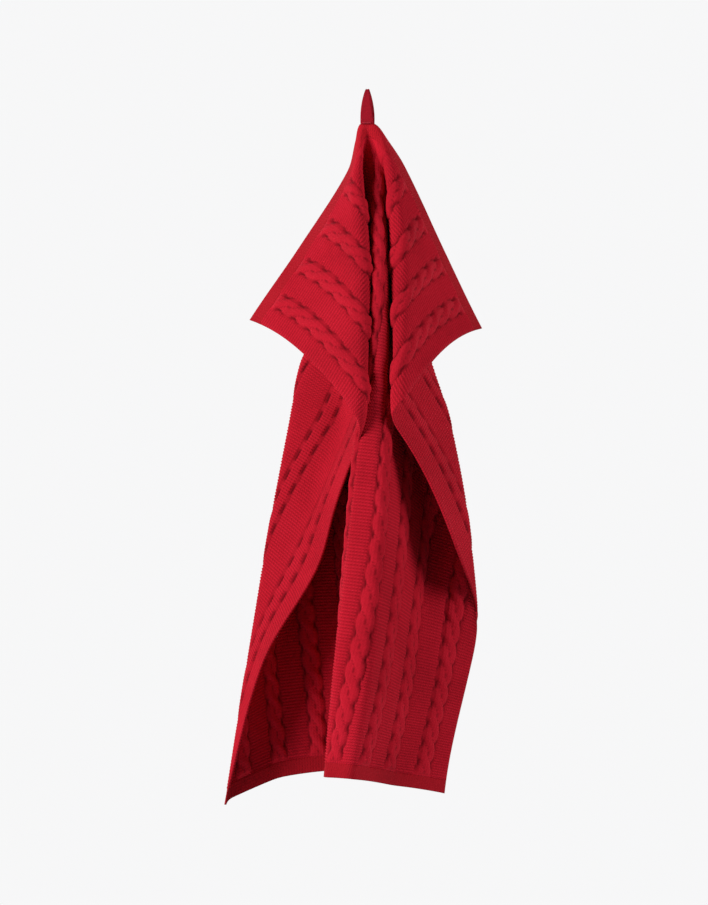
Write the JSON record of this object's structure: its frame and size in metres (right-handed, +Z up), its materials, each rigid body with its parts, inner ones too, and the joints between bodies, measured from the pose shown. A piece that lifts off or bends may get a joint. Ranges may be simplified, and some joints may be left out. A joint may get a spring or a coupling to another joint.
{
  "type": "knitted hand towel",
  "caption": "Cable-knit hand towel hanging in folds from a sewn tape loop, for drying hands.",
  "frame": {"origin": "top of the inside of the hanging loop, where the loop rests on its hook", "axes": "+Z up, +X to the right across the towel, +Y away from the viewer; the front of the towel faces -Y"},
  "size_m": [0.2627, 0.18, 0.717],
  "materials": {
    "knit": "matte cable-knit cotton",
    "band": "matte plain-knit cotton",
    "tape": "matte cotton tape",
    "thread": "satin sewing thread"
  },
  "bodies": {
    "loop": {"hanging_loop": "tape", "front_bar_tack": "thread", "back_bar_tack": "thread"},
    "towel": {"knit_panel": "knit", "top_band": "band", "bottom_band": "band"}
  },
  "joints": [
    {"name": "loop_flex", "type": "hinge", "parent": "loop", "child": "towel", "pos_m": [0, 0, -0.0288], "axis": [1, 0, 0], "range_deg": [-20, 20]}
  ]
}
